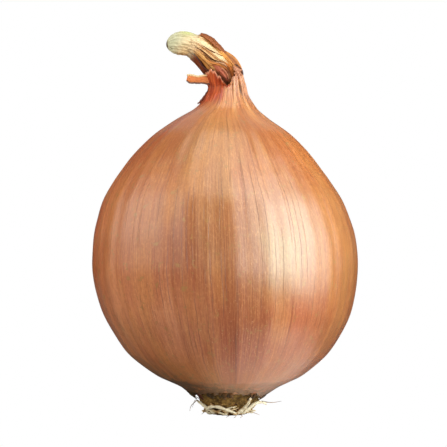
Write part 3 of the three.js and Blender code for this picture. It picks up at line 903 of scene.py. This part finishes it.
def husk_material(name, rough):
    """Dry leaf: each strand's own hue, streaked along its length."""
    s = new_material(name)
    place = s.attribute("fibre", "Vector")
    streak = s.strands(place, (1.6, 0.16, 1), 4, 0.65)
    fine = s.strands(place, (7, 0.6, 1), 3, 0.6)
    blotch = s.strands(place, (0.5, 0.45, 1))
    tint = s.layers(
        s.streaked_hue(streak, (0.28, (0.55, 0.44, 0.34, 1)), (0.75, (1.25, 1.3, 1.35, 1)), 0.48),
        (blotch, 0.54, 0.7, 0.0, 0.3, colour(176, 100, 46)),
        (fine, 0.54, 0.74, 0.0, 0.5, colour(104, 56, 24)),
    )
    normal = s.bumps((streak, 0.00028, 0.7), (fine, 0.00012, 0.6))
    roughness = s.span(fine, 0.3, 0.7, rough - 0.08, rough + 0.1)
    return s.surface(tint, roughness, normal, {"Specular IOR Level": 0.4})


def neck_wall(width):
    def wall(angle, t):
        turned = angle + NECK_TWIST * t * 0.4
        uneven = turned + 0.3 * np.sin(2 * turned + 1) + 0.16 * np.sin(3 * turned)
        valley = 1 - np.abs(np.sin(4.5 * uneven))
        fine = 1 - np.abs(np.sin(11 * turned + 1.5 * np.sin(2 * turned) + 2 * t))
        furrows = FURROW_DEPTH * valley * (0.7 + 0.3 * np.sin(2 * turned)) + FINE_FURROW_DEPTH * fine
        depth = smoothstep(t, 0.14, 0.32) * furrows
        closing = 0.45 * smoothstep(t, 0.88, 1)
        return oval(angle, width, width * NECK_DEPTH_SHARE) - NECK_INSET - depth - closing
    return wall


# Strands that show from the front, as [[x, z, half width] along each, lift, hue]
CREAM = (244, 224, 186)
FRONT_STRANDS = [
    ([(-11.4, 112.6, 0.3), (-8.9, 112.3, 0.6), (-6.2, 111.4, 0.65), (-3.4, 109.2, 0.6), (-0.6, 106.9, 0.4)],
     0.2, (206, 160, 108)),
    ([(-10.4, 112.2, 0.5), (-7.6, 111.2, 1), (-4.8, 109.5, 1.25), (-2.2, 107.4, 1.05), (0.2, 105.6, 0.6),
      (1.3, 104.7, 0.2)], 0.5, (238, 210, 164)),
    ([(-11.6, 111.4, 0.3), (-8.6, 110.8, 0.45), (-5.6, 109.0, 0.5), (-2.6, 106.7, 0.45), (0.6, 104.5, 0.2)],
     0.35, (196, 140, 86)),
    ([(-11.9, 110.9, 0.3), (-9.0, 110.2, 0.55), (-6.2, 108.5, 0.6), (-3.4, 106.3, 0.55), (-0.2, 104.6, 0.3)],
     0.42, (222, 176, 122)),
    ([(-12, 110.1, 0.3), (-9.4, 109.5, 0.5), (-6.8, 107.9, 0.55), (-4.2, 105.7, 0.5), (-1.6, 104.4, 0.25)],
     0.3, (206, 146, 92)),
    ([(-11.8, 109.4, 0.3), (-9.4, 108.8, 0.55), (-7.2, 107.2, 0.7), (-5, 105, 0.65), (-3.4, 103.4, 0.3)],
     0.4, (222, 166, 96)),
    ([(-11.6, 108.6, 0.2), (-9.2, 108, 0.5), (-7.2, 106.2, 0.6), (-5.4, 104, 0.6), (-4.2, 102.4, 0.3)],
     0.3, (186, 124, 58)),
    ([(-11.6, 107.8, 0.2), (-9.4, 107.2, 0.5), (-7.7, 105.5, 0.55), (-6.1, 103.3, 0.6), (-5.3, 101.6, 0.4)],
     0.35, (146, 66, 32)),
    ([(-8.2, 112.9, 0.3), (-5.2, 111.7, 0.6), (-2.6, 109.6, 0.6), (0, 107.1, 0.6), (2.5, 104.3, 0.55),
      (4, 102, 0.3)], 0.35, (226, 160, 82)),
    ([(-3.4, 108.9, 0.2), (-0.7, 107, 0.5), (1.5, 105, 0.75), (2.7, 103.2, 0.75), (3.4, 101.4, 0.5)],
     0.5, (232, 170, 84)),
    ([(-0.4, 105.6, 0.25), (1.2, 104.1, 0.5), (2.2, 102.4, 0.55), (2.7, 100.8, 0.4), (2.9, 99.4, 0.3)],
     0.4, (214, 136, 58)),
    ([(-7.8, 107, 0.2), (-5.2, 105.5, 0.45), (-2.6, 104.8, 0.45), (-0.2, 103.7, 0.4), (1.4, 101.8, 0.2)],
     0.45, (212, 136, 70)),
    ([(-6.2, 105.4, 0.2), (-4.4, 104.4, 0.4), (-2.8, 104.4, 0.4), (-1.4, 103.7, 0.2)],
     0.35, (176, 110, 54)),
    # Painted highlight: a thin pale strand that stands for the line of light along a fold
    ([(-4.3, 105.1, 0.12), (-2.4, 105.3, 0.22), (-0.6, 104.9, 0.22), (0.8, 103.9, 0.12)],
     0.6, (240, 190, 150)),
    ([(-4.1, 104.6, 0.3), (-2.7, 103.8, 0.85), (-1.2, 102.4, 1.05), (0.1, 100.9, 0.85), (1.1, 99.1, 0.3)],
     0.6, (172, 92, 66)),
    ([(-2, 104, 0.1), (-0.4, 102.9, 0.24), (0.8, 101.3, 0.26), (1.5, 99.2, 0.15)],
     0.75, (222, 150, 118)),
    ([(-9.6, 109.8, 0.08), (-7.2, 108.8, 0.16), (-4.9, 107.1, 0.18), (-2.9, 105.6, 0.08)],
     0.62, (92, 44, 22)),
    ([(-7, 108, 0.08), (-4.5, 106.4, 0.16), (-2, 105.5, 0.2), (0.3, 104.8, 0.28)], 0.66, (70, 30, 16)),
    ([(-8, 110.8, 0.06), (-5, 109, 0.14), (-2.3, 107.6, 0.14), (0.3, 106.6, 0.06)], 0.68, (120, 70, 36)),
    ([(-10.6, 108.4, 0.08), (-8.6, 107, 0.2), (-7, 104.9, 0.22), (-5.4, 103.2, 0.3), (-3.6, 102.6, 0.3)],
     0.6, (74, 28, 18)),
    ([(0.5, 106, 0.1), (1.8, 104.6, 0.18), (2.8, 102.9, 0.16), (3.1, 101.4, 0.1)], 0.7, (110, 56, 22)),
    ([(3, 104.6, 0.12), (4, 103.6, 0.22), (4.8, 102.4, 0.24), (5.2, 101.2, 0.12)], 0.5, (84, 50, 44)),
]

# Strands round the rest of the neck: [degrees round, from, to, half width in degrees, lift, hue]
BANDS = [
    (20, 0.2, 0.85, 13, 0.3, (222, 160, 92)), (-4, 0.22, 0.92, 12, 0.28, (222, 158, 84)),
    (44, 0.24, 0.92, 12, 0.3, (190, 124, 66)), (72, 0.22, 0.95, 13, 0.35, (226, 184, 130)),
    (98, 0.26, 0.97, 12, 0.3, (176, 108, 58)), (124, 0.22, 0.98, 13, 0.35, (212, 158, 100)),
    (150, 0.3, 0.96, 12, 0.3, (176, 112, 60)), (176, 0.24, 0.98, 12, 0.3, (140, 76, 40)),
    (202, 0.3, 0.97, 12, 0.28, (124, 60, 30)),
]


class NeckSurface:
    """Finds points on the neck by angle and share of its length, or by where they show from the front."""

    def __init__(self):
        self.line = spline(NECK_LINE, NECK_ROWS)
        self.across, self.outward = frames_along(self.line, BACK)
        self.shares = np.linspace(0, 1, NECK_ROWS)

    def at(self, t, angle, lift):
        def along(columns):
            return np.stack([np.interp(t, self.shares, column) for column in columns.T], axis=-1)

        line = along(self.line)
        radius = (oval(angle, line[..., 3], line[..., 3] * NECK_DEPTH_SHARE) - NECK_INSET + lift)[..., None]
        outward, across = along(self.outward), along(self.across)
        spread = outward * np.cos(angle)[..., None] + across * np.sin(angle)[..., None]
        return line[..., :3] + spread * radius

    def front(self, x, z):
        """The share and angle of the point that shows at x and z, as nearly as the neck reaches."""
        gap = (x[..., None] - self.line[:, 0]) ** 2 + (z[..., None] - self.line[:, 2]) ** 2
        near = np.argmin(gap, axis=-1)
        line, outward = self.line[near], self.outward[near]
        offset = (x - line[:, 0]) * outward[:, 0] + (z - line[:, 2]) * outward[:, 2]
        share = np.clip(offset / (line[:, 3] * NECK_DEPTH_SHARE), -0.99, 0.99)
        return self.shares[near], -np.arccos(share)


def strand(form, neck, t, angle, half, lift, number, hue):
    """A ribbon on the neck along shares t and angles, half as wide as given in mm."""
    over = np.linspace(-1, 1, STRAND_COLUMNS)[None, :]
    share = np.linspace(0, 1, len(t))[:, None]
    taper = np.sin(np.clip(share, 0.02, 0.98) * math.pi) ** 0.5
    radius = np.interp(t, neck.shares, neck.line[:, 3])[:, None]
    wave = 1 + 0.14 * np.sin(17 * share + number) + 0.08 * np.sin(37 * share + 2 * number)
    turn = angle[:, None] + over * half[:, None] * wave / radius
    crown = (1 - np.abs(over) ** 2.6) * lift * taper
    ridges = 0.08 * np.sin(over * 8 + number) * taper + 0.05 * np.sin(over * 17 + 3 * number + 5 * share)
    sunk = -0.55 * (np.abs(over) > 0.99) - 0.1
    surface = neck.at(t[:, None] + 0 * over, turn, crown + ridges + sunk)
    width = over * half[:, None] + 5 * number
    fibre = np.stack([width, t[:, None] * 24 + 0 * over, number + 0 * turn], axis=-1)
    paling = 0.7 * smoothstep(t, 0.78, 0.98)[:, None]
    # Painted shade: each strand darkens towards its edges, down to half, where it sinks into the neck
    shade = (1 - 0.5 * np.abs(over) ** 4)[..., None] * toned(hue_of(*hue), paling, *CREAM)
    # Low strands take the painted shade in the gap behind the torn rim, and the browning at the right
    shade = shade * (gap_shade_and_browning(surface) if lift < UNDARKENED_LIFT else 1)
    form.grid(surface, fibre, hue=shade, closed=False)


def gap_shade_and_browning(points):
    """Painted shade: the neck is darkened to dark maroon where it stands in the gap behind the torn rim. It
    is also browner at its right.
    """
    x, y, z = np.moveaxis(points, -1, 0)
    # Painted shade in the gap behind the torn rim
    gap_shade = (1 - smoothstep(z, 101.6, 103.6)) * (1 - smoothstep(x, 0.6, 2.2)) * (1 - smoothstep(y, 1, 4))
    browner = lerp(1, np.array([0.8, 0.66, 0.6]), smoothstep(x, -1.5, 1.5)[..., None])
    return browner * lerp(1, np.array([0.32, 0.2, 0.2]), gap_shade[..., None])


def evened(values):
    """Each value as the mean of itself and its four neighbours on both sides."""
    return np.convolve(np.pad(values, 4, mode="edge"), np.ones(9) / 9, mode="valid")


def neck_sheaths(material):
    neck = NeckSurface()
    points, angle, t = tube(neck.line, NECK_SIDES, neck_wall(neck.line[:, 3:]))
    fibre = np.stack([angle * 4.5, t * 24, 0 * t], axis=-1)
    bands = 0.5 + 0.3 * np.sin(3 * angle + 0.8) + 0.2 * np.sin(8 * angle + 3 * t)
    under = toned(toned(hue_of(140, 78, 38), bands, 212, 158, 96), 0.8 * smoothstep(t, 0.8, 0.98), *CREAM)
    # The neck's own surface takes the painted shade in the gap behind the torn rim, and the browning at its
    # right
    form = Form().grid(points, fibre, hue=under * gap_shade_and_browning(points))
    for number, (degrees, low, high, half, lift, hue) in enumerate(BANDS):
        t = np.linspace(low, high, STRAND_ROWS)
        sway = 0.06 * np.sin(7 * t + number) + 0.03 * np.sin(17 * t + 2 * number)
        half_width = np.full(STRAND_ROWS, math.radians(half) * NECK_MEAN_RADIUS)
        strand(form, neck, t, math.radians(degrees) + sway, half_width, lift, number, hue)
    for number, (rows, lift, hue) in enumerate(FRONT_STRANDS):
        path = spline([(x, 0, z, half) for x, z, half in rows], STRAND_ROWS)
        t, angle = neck.front(path[:, 0], path[:, 2])
        strand(form, neck, evened(t), evened(angle), path[:, 3], lift, 20 + number, hue)
    return form.piece("neck_sheaths", material, "neck_sheath", "neck")


def end_material():
    s = new_material("pale_leaf_end")
    place = s.attribute("fibre", "Vector")
    streak = s.strands(place, (1.8, 0.22, 1), 4, 0.6)
    fine = s.strands(place, (6, 1.6, 1))
    tint = s.layers(
        s.streaked_hue(streak, (0.28, (0.5, 0.48, 0.34, 1)), (0.8, (1.1, 1.11, 1.16, 1))),
        (fine, 0.56, 0.76, 0.0, 0.4, colour(150, 130, 84)),
    )
    normal = s.bumps((streak, 0.0002, 0.5), (fine, 0.0001, 0.5))
    return s.surface(tint, s.span(fine, 0.3, 0.7, 0.55, 0.7), normal, {"Specular IOR Level": 0.4})


def neck_end(material):
    """The pale, cross-wrinkled end of the inner leaves, greenish on top, with painted shade darkening its
    cut end.
    """
    line = spline(TIP_LINE, TIP_ROWS)
    width = line[:, 3][:, None]

    def wall(angle, t):
        past = np.clip((t - TIP_ROUNDED_FROM) / (1 - TIP_ROUNDED_FROM), 0, 1)
        rounded = np.sqrt(np.clip(1 - past**2, 0.02, 1))
        lengthwise = 0.13 * np.sin(7 * angle + 3 * t) + 0.08 * np.sin(17 * angle - 6 * t + np.sin(3 * angle))
        swerve = 3 * np.sin(2 * angle + 1) + 1.6 * np.sin(5 * angle)
        cross = 0.05 * np.sin(29 * t + swerve + 9 * t * t) * smoothstep(t, 0.4, 0.65)
        return (oval(angle, width, width * NECK_DEPTH_SHARE) + lengthwise + cross) * rounded

    points, angle, t = tube(line, TIP_SIDES, wall)
    fibre = np.stack([angle * 3.4, t * 11, 0 * t], axis=-1)
    under = facing_share(angle, 190) ** 2 * (1 - smoothstep(t, 0.5, 0.95))
    top = np.exp(-((angle_between(angle, math.radians(-20)) / 0.5) ** 2) - ((t - 0.42) / 0.16) ** 2)
    blush = np.exp(-((angle_between(angle, math.radians(-80)) / 0.6) ** 2)) * (1 - smoothstep(t, 0.25, 0.55))
    hue = hue_of(212, 200, 166)
    for share, tint in (
        (smoothstep(t, 0.45, 0.75), (198, 198, 168)),
        (0.9 * under, (206, 168, 116)),
        (0.75 * top, (196, 206, 128)),
        (0.7 * blush, (232, 196, 152)),
        # Painted shade at the cut end
        (smoothstep(t, 0.955, 0.975), (84, 60, 34)),
    ):
        hue = toned(hue, share, *tint)
    return Form().grid(points, fibre, hue=hue).piece("neck_end", material, "pale_leaf_end", "neck_tip")


# Root end

def plate_radius(height):
    rise = np.clip((height - PLATE_BOTTOM) / (PLATE_SHOULDER - PLATE_BOTTOM), 0, 1)
    spread = np.clip((height - PLATE_SHOULDER) / (PLATE_TOP - PLATE_SHOULDER), 0, 1)
    return lerp(lerp(PLATE_FOOT_RADIUS, PLATE_RADIUS, np.sin(rise * math.pi / 2)), PLATE_TOP_RADIUS, spread)


def ringed(radius, angle, height):
    """Points at a radius round the middle of the root end."""
    x = ROOT_CENTRE_X + radius * np.cos(angle)
    return np.stack([x, radius * np.sin(angle), height + 0 * angle], axis=-1)


def root_plate(material):
    angle = ring_angles(PLATE_SIDES)
    height = np.linspace(PLATE_BOTTOM, PLATE_TOP + 0.3, PLATE_ROWS)[:, None]
    rough = 0.16 * np.abs(np.sin(10 * angle + 2.2 * height)) + 0.12 * np.sin(23 * angle - 5 * height)
    radius = plate_radius(height) - rough * smoothstep(height, PLATE_BOTTOM, 3)
    form = Form().grid(ringed(radius, angle, height))
    return form.piece("root_plate", material, "root_plate", "basal_plate")


def plate_material():
    s = new_material("root_plate")
    place = s.object_place()
    crumb = s.noise(place, 900, 4, 0.7)
    patch = s.noise(place, 260, 3, 0.6)
    tint = s.ramp(crumb, tints((0.3, 54, 38, 18), (0.5, 118, 90, 46), (0.72, 186, 150, 88)))
    tint = s.layers(tint, (patch, 0.5, 0.62, 0.0, 0.5, colour(182, 140, 76)))
    normal = s.bumps((crumb, 0.0005, 0.9), (patch, 0.0006, 0.6))
    return s.surface(tint, 0.85, normal, {"Specular IOR Level": 0.3})


def root_material():
    """Cream to brown by the tone that each root has."""
    s = new_material("dried_root")
    place = s.object_place()
    grain = s.noise(place, 1400, 3, 0.6)
    patch = s.noise(place, 320, 3, 0.6)
    amount = s.math("ADD", s.attribute("tone"), s.span(patch, 0.3, 0.7, -0.3, 0.3), clamp=True)
    stops = tints((0, 72, 46, 24), (0.25, 164, 118, 70), (0.5, 226, 198, 150), (0.8, 252, 242, 214))
    tint = s.layers(s.ramp(amount, stops), (grain, 0.55, 0.75, 0.0, 0.4, colour(140, 108, 64)))
    return s.surface(tint, 0.7, s.bumps((grain, 0.00025, 0.6)), {"Specular IOR Level": 0.35})


def root_line(form, points, thickness, number, tone, taper=0.45):
    """A knotty root along points, thinner towards its end."""
    line = spline(points, 8 * len(points))

    def wall(angle, t):
        uneven = np.sin(31 * t + number) + 0.7 * np.sin(57 * t + 3 * number) * np.cos(angle)
        return thickness * (lerp(1, taper, t**2) + 0.1 * uneven)

    grid, _, _ = tube(line, ROOT_SIDES, wall, UP + 0.01 * BACK)
    form.grid(grid, tone=tone)


def root_tuft(material):
    """The mat with the long roots, the roots that climb round the plate, the hairs and the broken stubs."""
    form = Form()
    angle = ring_angles(MAT_SIDES)
    height = np.linspace(0, PLATE_BOTTOM + 0.1, MAT_ROWS)[:, None]
    mat = lerp(MAT_FOOT_RADIUS, MAT_RADIUS, height / 1.6) + 0.22 * np.sin(19 * angle + 3 * height)
    form.grid(ringed(mat, angle, height), tone=0.2)
    for number, points in enumerate(LONG_ROOTS):
        root_line(form, points, LONG_ROOT_RADIUS, number, 0.9, 0.55)
    rng = np.random.default_rng(ROOT_SEED)
    for number in range(ROOT_COUNT):
        start = (number + rng.uniform(-0.4, 0.4)) / ROOT_COUNT * 2 * math.pi
        turn = rng.uniform(0.2, 1.2) * rng.choice([-1, 1])
        top = rng.uniform(1.6, 4)
        climbs = number % 4 != 3
        steps = [(4.4, 0.8, 0), (MAT_RADIUS + 0.2, 0.9, 0.1)]
        for share in (0.4, 0.7, 1):
            z = lerp(0.9, top if climbs else rng.uniform(0.5, 0.9), share)
            hug = plate_radius(z) + 0.35 + rng.uniform(0, 0.5)
            steps.append((hug if climbs else lerp(MAT_RADIUS, 8, share), z, share))
        points = [ringed(r, start + turn * s, z) for r, z, s in steps]
        root_line(form, points, rng.uniform(0.18, 0.42), number, rng.uniform(0.1, 0.8))
    for number, points in enumerate(HAIRS):
        root_line(form, points, HAIR_RADIUS, number, 0.1, 0.3)
    for number in range(STUB_COUNT):
        turn = rng.uniform(0, 2 * math.pi)
        z = rng.uniform(0.5, 4.2)
        middle = ringed(plate_radius(z) + 0.1 if z > PLATE_BOTTOM else MAT_RADIUS + 0.1, turn, z)
        step = rng.uniform(-0.6, 0.6, 3)
        points = np.array([middle - step, middle + rng.uniform(-0.15, 0.15, 3), middle + step])
        points[:, 2] = np.maximum(points[:, 2], LOWEST_STUB)
        root_line(form, points, rng.uniform(0.2, 0.34), number, rng.uniform(-0.2, 0.35), 0.5)
    return form.piece("root_tuft_fine", material, "dried_root", "root_tuft")


# Light, floor and background

def area_light(name, centre, target, width, height, radiance, tint, fade=None, roll=0):
    data = bpy.data.lights.new(name, "AREA")
    data.shape = "RECTANGLE"
    data.size = width * MM
    data.size_y = height * MM
    data.energy = radiance * math.pi * width * height * MM * MM
    data.color = tint
    if fade:
        soften(data, fade)
    light = bpy.data.objects.new(name, data)
    light.location = Vector(centre) * MM
    aim = Vector(target) - Vector(centre)
    turned = Quaternion((0, 0, 1), math.radians(roll))
    light.rotation_euler = (aim.to_track_quat("-Z", "Y") @ turned).to_euler()
    light.visible_camera = False
    bpy.context.scene.collection.objects.link(light)
    return light


def soften(data, fade):
    """Dims a panel towards its edges, over a share of its width and of its height."""
    s = Shader(data, emptied=False)
    parts = s.parts(s.node("NewGeometry", {}, "Parametric"))
    strength = 1.0
    for axis, share in enumerate(fade):
        for start, end in ((0, share), (1, 1 - share)):
            strength = s.times(strength, s.span(parts[axis], start, end))
    s.put(s.tree.nodes["Emission"].inputs["Strength"], strength)


def lights():
    for row in PANELS:
        area_light(*row)
    for row in FILLS:
        area_light(*row, WARM_LIGHT).visible_glossy = False


def background():
    world = bpy.data.worlds.new("studio")
    bpy.context.scene.world = world
    s = Shader(world)
    s.white_to_camera(s.node("Background", {"Color": ROOM_COLOUR}), "Background", "OutputWorld")


def floor():
    mesh = bpy.data.meshes.new("floor")
    sides = ((-1, -1), (1, -1), (1, 1), (-1, 1))
    corners = [(x * FLOOR_HALF, y * FLOOR_HALF, -FLOOR_DROP) for x, y in sides]
    mesh.from_pydata(corners, [], [(0, 1, 2, 3)])
    s = new_material("floor")
    place = s.node("NewGeometry", {}, "Position")
    away = s.node("VectorMath", {0: place, 1: GLOW_CENTRE}, "Value", operation="DISTANCE")
    # Painted pool of light: light round GLOW_CENTRE and dark away from it
    shade = s.node("BsdfDiffuse", {"Color": s.span(away, *GLOW_REACH, *GLOW_SHADES)})
    mesh.materials.append(s.white_to_camera(shade, "Emission", "OutputMaterial"))
    piece = bpy.data.objects.new("floor", mesh)
    bpy.context.scene.collection.objects.link(piece)


make_camera()
bpy.context.scene.view_settings.view_transform = "Standard"
waist = papery_scale(scale_material())
torn = husk_material("torn_scale", 0.5)
torn_collar(torn, waist)
for make_piece in (waist_flake, torn_strip, torn_flap, gathered_knuckle, base_shards):
    make_piece(torn)
neck_sheaths(husk_material("neck_sheath", 0.6))
neck_end(end_material())
root_plate(plate_material())
root_tuft(root_material())
lights()
background()
floor()
